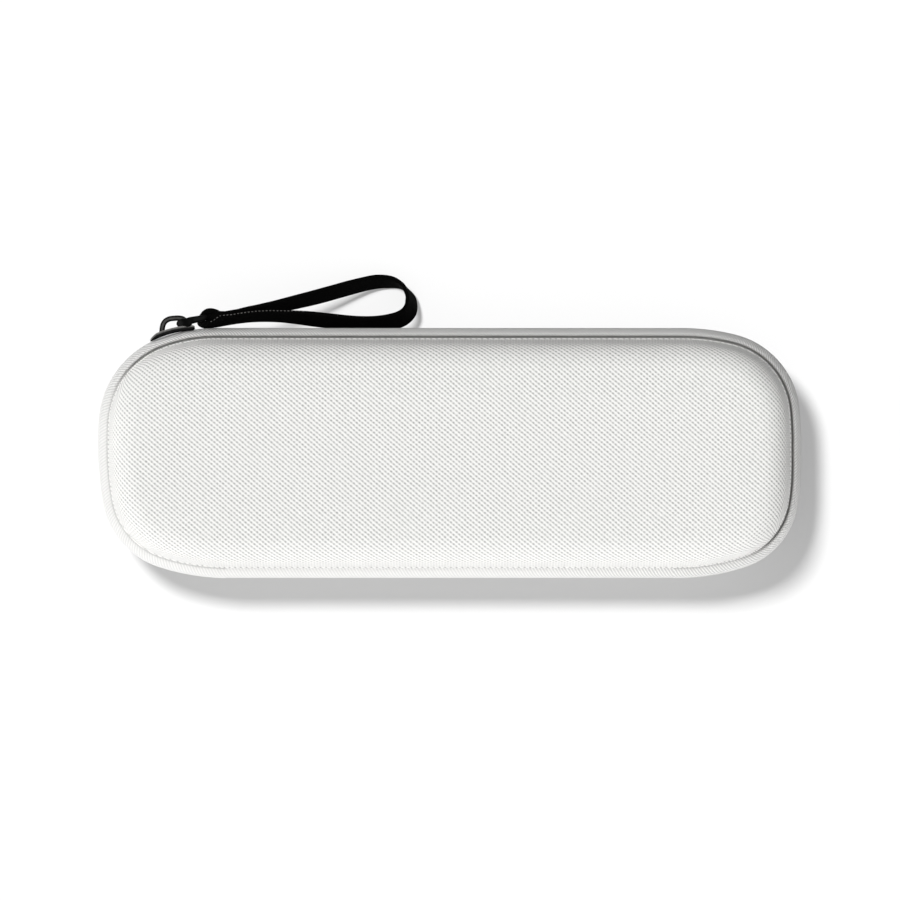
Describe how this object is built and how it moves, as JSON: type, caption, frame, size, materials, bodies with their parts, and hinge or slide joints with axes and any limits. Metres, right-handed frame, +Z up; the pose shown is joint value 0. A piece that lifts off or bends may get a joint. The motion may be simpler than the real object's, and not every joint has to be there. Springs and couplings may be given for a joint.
{
  "type": "electric toothbrush travel case",
  "caption": "Long rounded zipped hard case that opens flat on a fabric hinge, with a webbing loop on its zip slider, a net pocket in the lid and elastic bands in the base.",
  "frame": {"origin": "middle of the base's flat rest face", "axes": "+X along the case's length, away from the slider's end; +Y towards the long side with the webbing, opposite the hinge; +Z up, out of the lid"},
  "size_m": [0.22, 0.095, 0.044],
  "materials": {
    "shell_fabric": "off-white coarse woven polyester laminated to moulded foam",
    "lining": "short brushed tricot, charcoal",
    "binding": "ribbed polyester ribbon, black",
    "zip_tape": "off-white herringbone zip tape",
    "zip_coil": "off-white nylon coil",
    "hinge_fabric": "off-white herringbone tape",
    "black_metal": "glossy black enamel on cast zinc",
    "elastic": "ribbed woven elastic, black",
    "patch": "matt black coated patch",
    "net": "black stretch net",
    "webbing": "black ribbed polyester webbing"
  },
  "bodies": {
    "base": {"base_shell": "shell_fabric", "base_lining": "lining", "base_rim_binding": "binding", "zip_tape_lower": "zip_tape", "zip_coil_lower": "zip_coil", "hinge_panel_lower": "hinge_fabric", "zip_stop_left": "black_metal", "zip_stop_right": "black_metal", "elastic_band_head": "elastic", "elastic_band_handle": "elastic", "band_patches_head": "patch", "band_patches_handle": "patch"},
    "lid": {"lid_shell": "shell_fabric", "lid_lining": "lining", "lid_rim_binding": "binding", "zip_tape_upper": "zip_tape", "zip_coil_upper": "zip_coil", "hinge_panel_upper": "hinge_fabric", "net_pocket": "net", "pocket_hem": "elastic"},
    "slider": {"zip_slider": "black_metal"},
    "pull": {"pull_tab": "black_metal"},
    "strap": {"strap_fold": "webbing", "pull_strap": "webbing"}
  },
  "joints": [
    {"name": "lid_hinge", "type": "hinge", "parent": "base", "child": "lid", "pos_m": [0, -0.0391, 0.022], "axis": [1, 0, 0], "range_deg": [0, 180]},
    {"name": "slider_travel", "type": "hinge", "parent": "base", "child": "slider", "pos_m": [-0.0794, 0.0085, 0.022], "axis": [0, 0, 1], "range_deg": [0, 60]},
    {"name": "pull_swing", "type": "hinge", "parent": "slider", "child": "pull", "pos_m": [-0.08475, 0.04081, 0.022], "axis": [0, 0, 1], "range_deg": [0, 120]},
    {"name": "strap_swing", "type": "hinge", "parent": "pull", "child": "strap", "pos_m": [-0.07622, 0.04251, 0.022], "axis": [0, 0, 1], "range_deg": [0, 45]}
  ]
}
